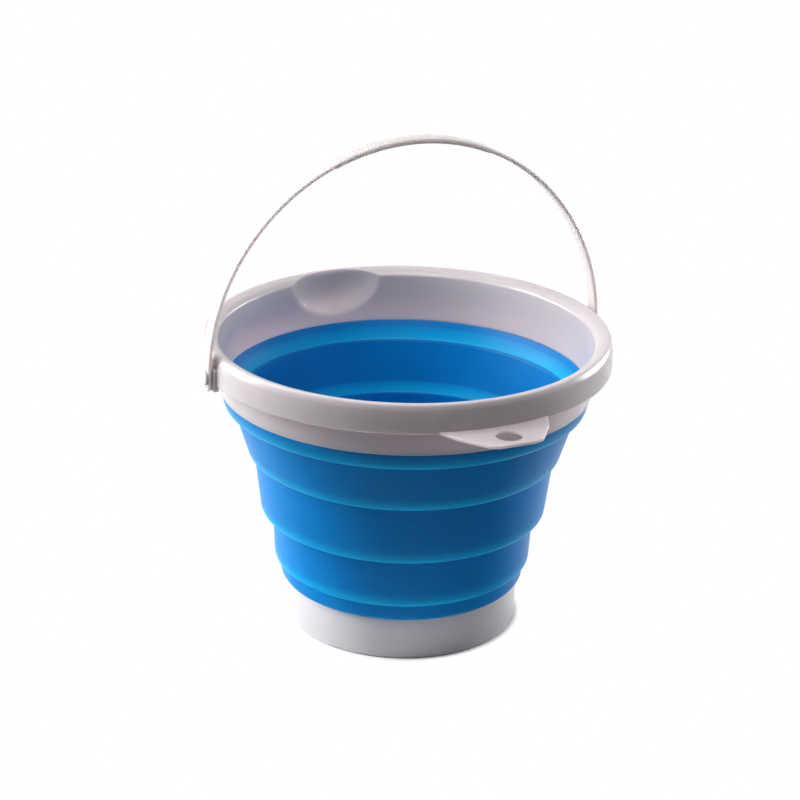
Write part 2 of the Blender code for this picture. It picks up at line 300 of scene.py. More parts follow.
def moulded_material(
    name, colour, shade, roughness, gloss_change, skin_scale,
    skin_height=SKIN_HEIGHT, shine=0.5, soft=0.0, depth=(1.0, 1.0, 1.0),
):
    """A moulded plastic or elastomer. Its shade, a share of its colour, its gloss and its skin come from the
    shared group. Soft says how much light goes into it, to the depths of its three colours."""
    material = bpy.data.materials.new(name)
    material.use_nodes = True
    tree = material.node_tree
    shader = tree.nodes["Principled BSDF"]
    for socket, value in (
        ("Metallic", 0.0),
        ("IOR", 1.5),
        ("Specular IOR Level", shine),
        ("Subsurface Weight", soft),
        ("Subsurface Radius", depth),
        ("Subsurface Scale", SOFT_UNIT),
    ):
        shader.inputs[socket].default_value = value
    given = {
        "Colour": (*colour, 1),
        "Shade": (*shaded(colour, shade), 1),
        "Roughness": roughness,
        "Gloss Change": gloss_change,
        "Skin Scale": skin_scale,
    }
    skin = add_node(tree, "ShaderNodeGroup", given, node_tree=moulded_skin_group())
    bump = add_node(tree, "ShaderNodeBump", {"Strength": 1.0, "Distance": skin_height})
    wire(
        tree,
        (skin, "Colour", shader, "Base Color"),
        (skin, "Roughness", shader, "Roughness"),
        (skin, "Height", bump, "Height"),
        (bump, "Normal", shader, "Normal"),
    )
    return material


def paint_step_highlights(material, pale, amount):
    """Paints highlights into an elastomer's colour: a paler colour, mixed in by the mesh's mark of the band
    over each step, stands in for the light that the steps catch.
    """
    tree = material.node_tree
    shader = tree.nodes["Principled BSDF"]
    marked = add_node(tree, "ShaderNodeAttribute", attribute_name="step_paleness")
    share = add_node(tree, "ShaderNodeMath", {1: amount}, operation="MULTIPLY")
    # Painted highlight: the paler colour at the steps stands in for light and is not a colour of the elastomer
    # itself
    mix = add_node(tree, "ShaderNodeMix", data_type="RGBA")
    mix.inputs["B"].default_value = (*pale, 1)
    tree.links.new(shader.inputs["Base Color"].links[0].from_socket, mix.inputs["A"])
    wire(
        tree,
        (marked, "Fac", share, 0),
        (share, "Value", mix, "Factor"),
        (mix, "Result", shader, "Base Color"),
    )


def shaded(colour, share):
    return tuple(channel * share for channel in colour)


# Settings


def metres(name, description, default):
    return FloatProperty(name=name, description=description, default=default, unit="LENGTH")


def number(name, description, default):
    return FloatProperty(name=name, description=description, default=default)


def rgb(name, description, default):
    return FloatVectorProperty(name=name, description=description, default=default, subtype="COLOR", size=3)


class BucketBaseSettings(bpy.types.PropertyGroup):
    """Sizes and colour of the base cup."""

    foot_inset: metres("Foot Inset", "How much narrower the foot is than the top", 0.0006)
    wall: metres("Wall", "Thickness of the side wall", 0.0024)
    floor: metres("Floor", "Thickness of the floor", 0.0030)
    edge: metres("Edge", "Rounding of the foot's edge", 0.0012)
    inner_round: metres("Inner Round", "Rounding between floor and wall inside", 0.0060)
    colour: rgb("Colour", "Colour of the plastic", (0.60, 0.58, 0.60))


class BucketWallSettings(bpy.types.PropertyGroup):
    """Sizes and colour of the folding wall, and of the highlights painted at its steps."""

    thickness: metres("Thickness", "Thickness of the wall", 0.0022)
    step_round: metres("Step Rounding", "Radius of each tier's lower edge", 0.0050)
    crease_round: metres("Crease Rounding", "Rounding in the crease under each tier", 0.0009)
    inner_round: metres("Inner Rounding", "Rounding of the ledges inside", 0.0014)
    inner_rise: metres("Inner Rise", "How far the hollow over a ledge reaches up inside", 0.0065)
    fold_edge: metres("Fold Edge", "Longest mesh edge where the wall turns over", 0.0012)
    wall_edge: metres("Wall Edge", "Longest mesh edge up the wall elsewhere", 0.0025)
    # The paler bands over the steps, their strength and colour are painted highlights: colour standing in for
    # light caught at each step, outside and inside
    outer_highlight_band: metres("Outer Pale Band", "Height of the paler band over a step outside", 0.0105)
    inner_highlight_band: metres("Inner Pale Band", "Height of the paler band over a step inside", 0.0120)
    highlight_amount: number("Pale Amount", "How pale the steps are", 0.75)
    highlight_colour: rgb("Pale Colour", "Colour at the steps", (0.004, 0.46, 0.78))
    colour: rgb("Colour", "Colour of the elastomer", (0.0005, 0.20, 0.55))


class BucketRimSettings(bpy.types.PropertyGroup):
    """Sizes and colour of the rim ring, its spout, hang tab and ears."""

    lip_reach: metres("Lip Reach", "Outer radius of the lip", 0.1300)
    lip_height: metres("Lip Height", "Height of the lip", 0.0187)
    lip_wall: metres("Lip Wall", "Thickness of the lip", 0.0022)
    mouth_reach: metres("Mouth", "Radius of the mouth", 0.1184)
    skirt_reach: metres("Skirt Reach", "Outer radius of the skirt's lower end", 0.1176)
    skirt_wall: metres("Skirt Wall", "Thickness of the skirt", 0.0019)
    skirt_flare: metres("Skirt Flare", "How far the skirt leans out up to the lip", 0.0030)
    skirt_slope: metres("Skirt Slope", "Rise of the skirt's lower end inwards", 0.0026)
    spout_radius: metres("Spout Radius", "Ball radius", 0.0493)
    spout_land: metres("Spout Land", "Lip left outside the spout", 0.0042)
    spout_soft: metres("Spout Softness", "Width of the spout's soft border", 0.0008)
    tab_thickness: metres("Tab Thickness", "Thickness of the tab", 0.0020)
    tab_seat: metres("Tab Seat", "How deep the tab sits in the lip's edge", 0.0017)
    tab_hole_radius: metres("Tab Hole", "Radius of the hole", 0.0080)
    tab_hole_reach: metres("Tab Hole Reach", "Distance of the hole from the axis", 0.1442)
    ear_face: metres("Ear Face", "Reach of the ear's face", 0.1317)
    ear_width: metres("Ear Width", "Width of an ear", 0.0130)
    ear_drop: metres("Ear Drop", "Ear below the pivot", 0.0082)
    ear_height: metres("Ear Height", "Height of an ear", 0.0144)
    colour: rgb("Colour", "Colour of the plastic", (0.56, 0.515, 0.53))


class BucketHandleSettings(bpy.types.PropertyGroup):
    """Sizes and colours of the handle and its pins."""

    reach: metres("Reach", "Distance of the band's middle from the axis", 0.1334)
    rise: metres("Rise", "Height of the arch", 0.1345)
    leg: metres("Leg", "Straight part above the pivot", 0.0020)
    tail: metres("Tail", "Band below the pivot", 0.0085)
    width: metres("Width", "Width of the band", 0.0105)
    thickness: metres("Thickness", "Thickness of the band", 0.0026)
    edge: metres("Edge", "Rounding of the band's edges", 0.0011)
    grip_length: metres("Grip Length", "Length of the grip", 0.1080)
    grip_width: metres("Grip Width", "Width of the grip", 0.0115)
    grip_thickness: metres("Grip Thickness", "Thickness of the grip", 0.0034)
    pin_radius: metres("Pin Radius", "Radius of a pin", 0.0030)
    pin_clearance: metres("Pin Clearance", "Gap round a pin", 0.0003)
    pin_head: metres("Pin Head", "Radius of a pin's head", 0.0048)
    colour: rgb("Colour", "Colour of the handle", (0.66, 0.61, 0.60))
    pin_colour: rgb("Pin Colour", "Colour of the pins", (0.70, 0.66, 0.65))


class BucketStageSettings(bpy.types.PropertyGroup):
    """The studio round the bucket."""

    camera_turn: FloatProperty(
        name="Camera Turn", description="Turn of the camera round the bucket", default=math.radians(-25),
        subtype="ANGLE",
    )
    left_power: number("Left Light", "Watts of the left light", 16.0)
    left_low_power: number("Left Low Light", "Watts of the low left light", 24.0)
    right_power: number("Right Light", "Watts of the right light", 1.5)
    right_back_power: number("Right Back Light", "Watts of the light behind right", 18.0)
    top_power: number("Top Light", "Watts of the light above", 8.4)
    room_light: number("Room Light", "Strength of the room's soft light", 0.02)
    dim_side: number("Dim Side", "How bright the camera's side of the room looks in a gloss", 0.08)
    far_floor: number("Far Floor", "Share of the floor's colour far from the bucket", 0.3)
    floor_size: metres("Floor Size", "Radius of the floor", 6.0)
    floor_colour: rgb("Floor Colour", "Colour of the floor", (0.86, 0.85, 0.86))


# Operators


class BUCKET_OT_base_cup(bpy.types.Operator):
    """Builds the rigid base cup"""

    bl_idname = "bucket.base_cup"
    bl_label = "Base Cup"

    def execute(self, context):
        size = context.scene.bucket_base
        lean = size.foot_inset / BASE_TOP
        foot = BASE_REACH - size.foot_inset
        floor_reach = foot - size.wall + lean * size.floor
        top_edge = size.edge / 3
        corners = [
            (0, size.floor, 0),
            (floor_reach, size.floor, size.inner_round),
            (BASE_REACH - size.wall, BASE_TOP, top_edge),
            (BASE_REACH, BASE_TOP, top_edge),
            (foot, 0, size.edge),
            (0, 0, 0),
        ]
        shape = bmesh.new()
        profile_wire(shape, corners, closed=False)
        turn_profile(shape, RING_STEPS)
        plastic = moulded_material(
            "base_plastic_satin", size.colour, shade=0.93, roughness=0.32, gloss_change=0.08,
            skin_scale=500.0, soft=0.5, depth=(0.7, 0.7, 0.7),
        )
        cup = make_piece("cup_moulding", shape, plastic)
        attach(cup, "base")
        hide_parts("base_cup")
        return {"FINISHED"}


class BUCKET_OT_folding_wall(bpy.types.Operator):
    """Builds the stepped elastomer wall as two pieces that meet in its middle tier"""

    bl_idname = "bucket.folding_wall"
    bl_label = "Folding Wall"

    # The hollow over a ledge inside, as shares of the ledge's width and of the hollow's own rise
    most_rise = 1.6
    top_round = 0.45
    bend_reach, bend_rise, bend_round = 0.75, 0.05, 0.20
    edge_drop = 0.08

    # The painted highlight bands: outside is past a tier's edge, less these shares of its flare and of the
    # wall, and inside starts at the crease, less the last share of the wall
    flare_share, wall_share, inner_share = 1.02, 0.6, 1.1

    # A tier that starts this near to the base's top has no painted highlight band outside
    base_margin = 0.001

    def outer_corners(self, size, inner_reach, node):
        """The crease under a tier, the tier's rounded lower edge and its upper end."""
        low, high = low_z(node), reach(node)
        edge = high - TIER_FLARES[node]
        step = edge - inner_reach
        radius = size.step_round
        inset = max(radius - step, 0)
        slope = inset / math.sqrt(radius**2 - inset**2)
        crease = low + radius - math.sqrt(radius**2 - inset**2)
        setback = min(math.hypot(step, step * slope), radius) - size.crease_round
        return [(inner_reach, crease, size.crease_round), (edge, crease + step * slope, setback)]

    def inner_corners(self, size, inner_reach, node):
        """The same tier inside: the foot of its wall, then the edge of its ledge."""
        top = low_z(node) + size.thickness
        edge = reach(node) - TIER_FLARES[node] - size.thickness
        ledge = edge - inner_reach + size.thickness
        rise = min(size.inner_rise, ledge * self.most_rise)
        bend = ledge * self.bend_round
        return [
            (edge, top + rise, rise * self.top_round),
            (edge - ledge * self.bend_reach, top + rise * self.bend_rise, bend),
            (inner_reach - size.thickness, top - rise * self.edge_drop, min(size.inner_round, bend)),
        ]

    def mark_step_highlights(self, shape, size, below):
        """Writes how near each vertex is to the step under its tier, outside and inside, as the share of
        painted highlight there.
        """
        layer = shape.verts.layers.float.new("step_paleness")
        tiers = []
        for node, inner_reach in below.items():
            edge = reach(node) - TIER_FLARES[node] * self.flare_share - size.thickness * self.wall_share
            tiers.append((low_z(node), edge, inner_reach))
        for vert in shape.verts:
            distance = math.hypot(vert.co.x, vert.co.y)
            for low, edge, inner_reach in tiers:
                height = vert.co.z - low
                outside = distance > edge
                inset = 0 if outside else size.thickness * self.inner_share
                if distance < inner_reach + size.crease_round - inset:
                    continue
                if outside and low <= BASE_TOP + self.base_margin:
                    continue
                span = size.outer_highlight_band if outside else size.inner_highlight_band
                start = 0.0 if outside else size.thickness
                share = min(max(1 - (height - start) / span, 0), 1)
                if height > -MERGE_DISTANCE:
                    vert[layer] = max(vert[layer], share * share * (3 - 2 * share))

    def turn_part(self, name, corners, size, steps, fold, material):
        """One piece of the wall from its profile, meshed finely where it folds, with the painted highlights at
        its steps marked.
        """
        shape = bmesh.new()
        profile_wire(shape, corners, closed=True)
        split_long_edges(shape, size.fold_edge, *fold)
        split_long_edges(shape, size.wall_edge)
        turn_profile(shape, RING_STEPS)
        self.mark_step_highlights(shape, size, steps)
        return make_piece(name, shape, material)

    def execute(self, context):
        size = context.scene.bucket_wall
        nodes = list(TIER_FLARES)
        below = dict(zip(nodes, [BASE_REACH] + [reach(node) for node in nodes]))
        middle = "wall_middle_band"
        low, high = low_z(middle), high_z(middle)
        seam = (low + high) / 2
        seam_reach = reach(middle) - TIER_FLARES[middle] * (high - seam) / (high - low)
        rubber = moulded_material(
            "wall_elastomer_satin", size.colour, shade=0.90, roughness=0.36, gloss_change=0.08,
            skin_scale=500.0, shine=0.1, soft=0.5, depth=(0.2, 0.45, 0.5),
        )
        # Painted highlights: a paler colour at the wall's steps, outside and inside, stands in for the light
        # they catch
        paint_step_highlights(rubber, size.highlight_colour, size.highlight_amount)
        lower = nodes[:3]
        corners = []
        for node in lower:
            corners += self.outer_corners(size, below[node], node)
        corners += [(seam_reach, seam, 0), (seam_reach - size.thickness, seam, 0)]
        for node in reversed(lower):
            corners += self.inner_corners(size, below[node], node)
        corners[0] = (below[lower[0]], low_z(lower[0]), 0)
        corners[-1] = (below[lower[0]] - size.thickness, low_z(lower[0]) + size.thickness, 0)
        corners.append((below[lower[0]] - size.thickness, low_z(lower[0]), 0))
        fold = low_z("wall_lower_fold"), low_z(middle)
        steps = {node: below[node] for node in lower}
        piece = self.turn_part("fold_wall_lower", corners, size, steps, fold, rubber)
        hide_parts(*lower)
        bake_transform(piece)

        upper = nodes[3:]
        top = high_z("wall_top_collar")
        collar = reach("wall_top_collar")
        skirt = context.scene.bucket_rim
        corners = [(seam_reach, seam, 0)]
        for node in upper:
            corners += self.outer_corners(size, below[node], node)
        corners += [(collar, top - skirt.skirt_slope, size.crease_round / 2)]
        corners += [(skirt.skirt_reach - skirt.skirt_wall, top, size.crease_round / 2)]
        for node in reversed(upper):
            corners += self.inner_corners(size, below[node], node)
        corners.append((seam_reach - size.thickness, seam, 0))
        fold = low_z("wall_upper_fold"), low_z("wall_top_collar")
        steps = {node: below[node] for node in upper}
        piece = self.turn_part("fold_wall_upper", corners, size, steps, fold, rubber)
        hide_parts(*upper)
        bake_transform(piece)
        return {"FINISHED"}


class BUCKET_OT_rim_ring(bpy.types.Operator):
    """Builds the rim ring with its lip, skirt, spout, hang tab and ears"""

    bl_idname = "bucket.rim_ring"
    bl_label = "Rim Ring"

    # The tab's half outline from its root: shares of its half width and of its length outside the lip
    tab_outline_shares = ((1.00, -0.05), (0.80, 0.42), (0.60, 0.74), (0.47, 0.93), (0.33, 1.00), (0.00, 1.00))
    tab_half_width = 0.0366
    tab_edge = 0.0005

    # The crown: (distance out, distance up, rounding) from the top of the mouth, then from that of the lip
    crown_inside = ((0, -0.0043, 0.0008), (0.0028, -0.0018, 0.0014), (0.0090, 0.0002, 0.0020))
    crown_outside = ((-0.0009, -0.0024, 0.0018), (-0.0001, -0.0080, 0.0030))

    # Under the crown: the depths of the groove's two upper corners and their rounding, then the roundings of
    # the lip's edge and of the skirt
    groove_depth, skirt_depth, groove_round = 0.0030, 0.0065, 0.0022
    lip_rounds = (0.0009, 0.0007)
    skirt_rounds = (0.0010, 0.0006, 0.0004)

    # The spout: half its turn round the rim, the margin in which vertices still move, and the cuts in edges
    # round the rim that are longer than the shortest
    spout_half_turn = math.radians(27)
    spout_margin = 1.1
    spout_cuts, shortest_cut = 3, 0.001

    # The crown's underside over the skirt's top, its rise outwards, and how far the spout's back keeps from
    # the lip in wall thicknesses
    underside_depth, underside_slope = 0.0048, 0.486
    lip_keep, lip_clear = 1.02, 1.1

    # The ring's longest mesh edge and how far above its foot that starts, then an ear's edge and its root
    mesh_edge, mesh_start = 0.0011, 0.004
    ear_edge, ear_root = 0.0006, 0.8

    def ring_corners(self, size):
        """The ring's profile: top face, rounded shoulder, lip, groove under it, skirt and inner wall."""
        lip_foot = RIM_TOP - size.lip_height
        skirt_top = size.skirt_reach + size.skirt_flare
        groove = size.lip_reach - size.lip_wall
        lip_outer, lip_inner = self.lip_rounds
        skirt_inner, foot_outer, foot_inner = self.skirt_rounds
        corners = []
        for start, crown in ((size.mouth_reach, self.crown_inside), (size.lip_reach, self.crown_outside)):
            corners += [(start + out, RIM_TOP + up, rounding) for out, up, rounding in crown]
        return corners + [
            (size.lip_reach, lip_foot, lip_outer),
            (groove, lip_foot, lip_inner),
            (groove, RIM_TOP - self.groove_depth, self.groove_round),
            (skirt_top, RIM_TOP - self.skirt_depth, self.groove_round),
            (skirt_top, lip_foot, skirt_inner),
            (size.skirt_reach, RIM_FOOT, foot_outer),
            (size.skirt_reach - size.skirt_wall, RIM_FOOT + size.skirt_slope, foot_inner),
        ]

    def press_spout(self, shape, size):
        """Pushes the rim's inner wall out to a ball, and the wall's back out with it."""
        across = []
        for edge in shape.edges:
            first, second = edge.verts
            near = abs(math.atan2(first.co.x, first.co.y)) < self.spout_half_turn
            level = abs(first.co.z - second.co.z) < MERGE_DISTANCE
            if near and level and edge.calc_length() > self.shortest_cut:
                if abs(math.hypot(*first.co.xy) - math.hypot(*second.co.xy)) < MERGE_DISTANCE:
                    across.append(edge)
        bmesh.ops.subdivide_edges(shape, edges=across, cuts=self.spout_cuts, use_grid_fill=True)
        centre = size.lip_reach - size.spout_land - size.spout_radius
        lean = (size.mouth_reach - size.skirt_reach + size.skirt_wall) / (RIM_TOP - RIM_FOOT)
        for vert in shape.verts:
            turn = math.atan2(vert.co.x, vert.co.y)
            distance = math.hypot(vert.co.x, vert.co.y)
            if abs(turn) > self.spout_half_turn * self.spout_margin:
                continue
            if distance > size.lip_reach - size.lip_wall * self.lip_keep:
                continue
            inner_face = size.skirt_reach - size.skirt_wall + lean * (vert.co.z - RIM_FOOT)
            outwards = distance - size.skirt_reach - size.skirt_flare
            under_top = RIM_TOP - self.underside_depth + self.underside_slope * outwards
            behind = distance > inner_face + size.skirt_wall / 2 and vert.co.z < under_top
            radius = size.spout_radius + (size.lip_wall if behind else 0)
            rest = radius**2 - (centre * math.sin(turn)) ** 2 - (RIM_TOP - vert.co.z) ** 2
            if rest <= 0:
                continue
            ball = centre * math.cos(turn) + math.sqrt(rest)
            if behind:
                ball = min(ball, size.lip_reach - size.lip_wall * self.lip_clear)
            share = min(max(0.5 + (ball - distance) / (2 * size.spout_soft), 0), 1)
            moved = distance + share * (ball - distance) + size.spout_soft * share * (1 - share)
            if moved - distance > MERGE_DISTANCE:
                vert.co.x *= moved / distance
                vert.co.y *= moved / distance

    def add_tab(self, shape, size):
        """The flat tab, made outwards from its hole, with rounded edges."""
        root = math.sqrt(size.lip_reach**2 - self.tab_half_width**2)
        tip = -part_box("rim_ring")[0].y
        half = [(self.tab_half_width * w, root + (tip - root) * out) for w, out in self.tab_outline_shares]
        inside = size.skirt_reach + size.skirt_flare - size.lip_wall / 2
        outline = half + [(-x, y) for x, y in reversed(half[:-1])] + [(0, inside)]
        top = RIM_TOP - size.lip_height + size.tab_seat
        ring = bmesh.ops.create_circle(shape, segments=HOLE_STEPS, radius=size.tab_hole_radius)["verts"]
        edges = each_once(edge for vert in ring for edge in vert.link_edges)
        spread = bmesh.ops.extrude_edge_only(shape, edges=edges)["geom"]
        from_hole = [(x, size.tab_hole_reach - y) for x, y in outline]
        for vert in only(spread, bmesh.types.BMVert):
            aim = Vector((vert.co.x, vert.co.y)).normalized()
            vert.co.x, vert.co.y = aim * self.ray_to_outline(aim, from_hole)
        faces = only(spread, bmesh.types.BMFace)
        verts = each_once(vert for face in faces for vert in face.verts)
        bmesh.ops.translate(shape, verts=verts, vec=(0, -size.tab_hole_reach, top))
        grown = bmesh.ops.extrude_face_region(shape, geom=faces, use_keep_orig=True)["geom"]
        low = only(grown, bmesh.types.BMVert)
        bmesh.ops.translate(shape, verts=low, vec=(0, 0, -size.tab_thickness))
        solid = each_once(face for vert in verts + low for face in vert.link_faces)
        bmesh.ops.recalc_face_normals(shape, faces=solid)
        sharp = [
            edge
            for edge in each_once(edge for face in solid for edge in face.edges)
            if len(edge.link_faces) == 2 and edge.calc_face_angle() > SHARP_ANGLE
        ]
        round_off(shape, sharp, self.tab_edge, TAB_EDGE_SEGMENTS, "EDGES")

    def ray_to_outline(self, aim, outline):
        """Distance from the hole's centre to the outline in one direction."""
        parallel, slack = 1e-12, 1e-9
        best = 1.0
        for (ax, ay), (bx, by) in zip(outline, outline[1:] + outline[:1]):
            side = Vector((bx - ax, by - ay))
            cross = aim.x * side.y - aim.y * side.x
            if abs(cross) < parallel:
                continue
            along = (ax * side.y - ay * side.x) / cross
            share = (ax * aim.y - ay * aim.x) / cross
            if along > 0 and -slack <= share <= 1 + slack:
                best = min(best, along)
        return best

    def execute(self, context):
        size = context.scene.bucket_rim
        shape = bmesh.new()
        profile_wire(shape, self.ring_corners(size), closed=True)
        split_long_edges(shape, self.mesh_edge, RIM_FOOT + self.mesh_start)
        turn_profile(shape, RIM_STEPS)
        self.press_spout(shape, size)
        bmesh.ops.recalc_face_normals(shape, faces=shape.faces[:])
        plastic = moulded_material(
            "rim_plastic_gloss", size.colour, shade=0.95, roughness=0.22, gloss_change=0.06, skin_scale=450.0,
            soft=0.8, depth=(0.8, 0.7, 0.7),
        )
        ring = make_piece("rim_moulding", shape, plastic)

        extras = bmesh.new()
        self.add_tab(extras, size)
        for side in (-1, 1):
            inner, outer = side * (size.lip_reach - size.lip_wall * self.ear_root), side * size.ear_face
            rounded_box(
                extras,
                (min(inner, outer), -size.ear_width / 2, PIVOT_Z - size.ear_drop),
                (max(inner, outer), size.ear_width / 2, PIVOT_Z - size.ear_drop + size.ear_height),
                self.ear_edge,
            )
        bmesh.ops.recalc_face_normals(extras, faces=extras.faces[:])
        boolean(ring, make_piece("tab_and_ears", extras), "UNION")
        bore_start, bore_end = size.lip_reach - size.lip_wall * 2, size.ear_face + size.lip_wall
        cut_bores(ring, "pin_bores", context.scene.bucket_handle, bore_start, bore_end)
        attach(ring, "rim")
        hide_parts("rim_ring")
        return {"FINISHED"}


class BUCKET_OT_pivot_pins(bpy.types.Operator):
    """Builds the two snap pins"""

    bl_idname = "bucket.pivot_pins"
    bl_label = "Pivot Pins"

    # The head: its gap to the band, its thickness, its flat share and its roundings
    head_gap, head_thickness, head_flat = 0.0003, 0.0014, 0.72
    head_rounds = (0.0008, 0.0003, 0.0002)

    # The barb behind the lip: its gap, overhang, thickness and rounding
    barb_gap, barb_overhang, barb_thickness, barb_round = 0.0006, 0.0011, 0.0015, 0.0002

    def execute(self, context):
        size = context.scene.bucket_handle
        rim = context.scene.bucket_rim
        face = size.reach + size.thickness / 2 + self.head_gap
        barb = rim.lip_reach - rim.lip_wall - self.barb_gap
        dome, shoulder, rear = self.head_rounds
        corners = [
            (0, face + self.head_thickness, 0),
            (size.pin_head * self.head_flat, face + self.head_thickness, dome),
            (size.pin_head, face + self.head_thickness / 2, shoulder),
            (size.pin_head, face, rear),
            (size.pin_radius, face, 0),
            (size.pin_radius, barb, 0),
            (size.pin_radius + self.barb_overhang, barb, self.barb_round),
            (size.pin_radius, barb - self.barb_thickness, self.barb_round),
            (0, barb - self.barb_thickness, 0),
        ]
        plastic = moulded_material(
            "pin_plastic_satin", size.pin_colour, shade=0.85, roughness=0.35, gloss_change=0.1,
            skin_scale=1500.0, skin_height=0.00001,
        )
        for side, end in ((-1, "left"), (1, "right")):
            shape = bmesh.new()
            profile_wire(shape, corners, closed=False)
            turn_profile(shape, PIN_STEPS)
            place = Matrix.Translation((0, 0, PIVOT_Z)) @ Matrix.Rotation(side * math.pi / 2, 4, "Y")
            bmesh.ops.transform(shape, matrix=place, verts=shape.verts[:])
            bmesh.ops.recalc_face_normals(shape, faces=shape.faces[:])
            pin = make_piece("snap_pin_" + end, shape, plastic)
            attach(pin, "rim")
            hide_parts("pivot_pin_" + end)
        return {"FINISHED"}


class BUCKET_OT_carry_handle(bpy.types.Operator):
    """Builds the flat band handle with its thicker grip"""

    bl_idname = "bucket.carry_handle"
    bl_label = "Carry Handle"

    # The end below the pivot: its plain share, then its rounded rest: (share of that, share of the width)
    plain_share = 0.2
    tail_shares = ((0.40, 1.00), (0.70, 0.93), (0.88, 0.76), (1.00, 0.50))
    arch_steps = 168

    def execute(self, context):
        size = context.scene.bucket_handle
        shape = bmesh.new()
        centre_z = PIVOT_Z + size.leg
        half_width, half_thickness = size.width / 2, size.thickness / 2
        section = [
            shape.verts.new((size.reach + x * half_thickness, y * half_width, centre_z))
            for x, y in ((-1, -1), (1, -1), (1, 1), (-1, 1))
        ]
        for first, second in zip(section, section[1:] + section[:1]):
            shape.edges.new((first, second))
        round_off(shape, section, size.edge, EDGE_SEGMENTS, "VERTICES")
        start = shape.edges[:]
        made = bmesh.ops.spin(
            shape, geom=shape.verts[:] + start, cent=(0, 0, centre_z), axis=(0, -1, 0), dvec=(0, 0, 0),
            angle=math.pi, steps=self.arch_steps, use_merge=False, use_duplicate=False,
        )
        last = only(made["geom_last"], bmesh.types.BMEdge)
        self.shape_grip(shape, size, centre_z)
        centre = Matrix.Translation((0, 0, -centre_z))
        bmesh.ops.scale(shape, vec=(1, 1, size.rise / size.reach), space=centre, verts=shape.verts[:])
        for edges in (start, last):
            self.add_leg(shape, size, edges)
        bmesh.ops.recalc_face_normals(shape, faces=shape.faces[:])
        plastic = moulded_material(
            "handle_plastic_gloss", size.colour, shade=0.94, roughness=0.26, gloss_change=0.06,
            skin_scale=150.0, skin_height=0.0, soft=0.8, depth=(0.9, 0.72, 0.68),
        )
        band = make_piece("handle_band", shape, plastic)
        cut_bores(band, "handle_eyes", size, size.reach - size.thickness, size.reach + size.thickness)
        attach(band, "handle")
        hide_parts("carry_handle")
        return {"FINISHED"}

    def shape_grip(self, shape, size, centre_z):
        """Makes the top of the arch wider and thicker, with a step at each end."""
        half_turn = size.grip_length / 2 / size.reach
        for vert in shape.verts:
            flat = Vector((vert.co.x, vert.co.z - centre_z))
            if abs(math.atan2(flat.x, flat.y)) < half_turn:
                outward = flat.length - size.reach
                wider = size.reach + outward * size.grip_thickness / size.thickness
                flat *= wider / flat.length
                vert.co.x, vert.co.z = flat.x, centre_z + flat.y
                vert.co.y *= size.grip_width / size.width

    def add_leg(self, shape, size, edges):
        """Extends one end of the band straight down, past its pivot, to a rounded tip."""
        full = size.leg + size.tail
        plain = self.plain_share
        marks = [(plain, 1.0)] + [(plain + (1 - plain) * share, width) for share, width in self.tail_shares]
        before, narrow = 0.0, 1.0
        for share, width in marks:
            grown = bmesh.ops.extrude_edge_only(shape, edges=edges)["geom"]
            verts = only(grown, bmesh.types.BMVert)
            edges = only(grown, bmesh.types.BMEdge)
            edges = [edge for edge in edges if all(vert in verts for vert in edge.verts)]
            bmesh.ops.translate(shape, verts=verts, vec=(0, 0, -(share - before) * full))
            bmesh.ops.scale(shape, vec=(1, width / narrow, 1), verts=verts)
            before, narrow = share, width
        bmesh.ops.holes_fill(shape, edges=edges, sides=0)


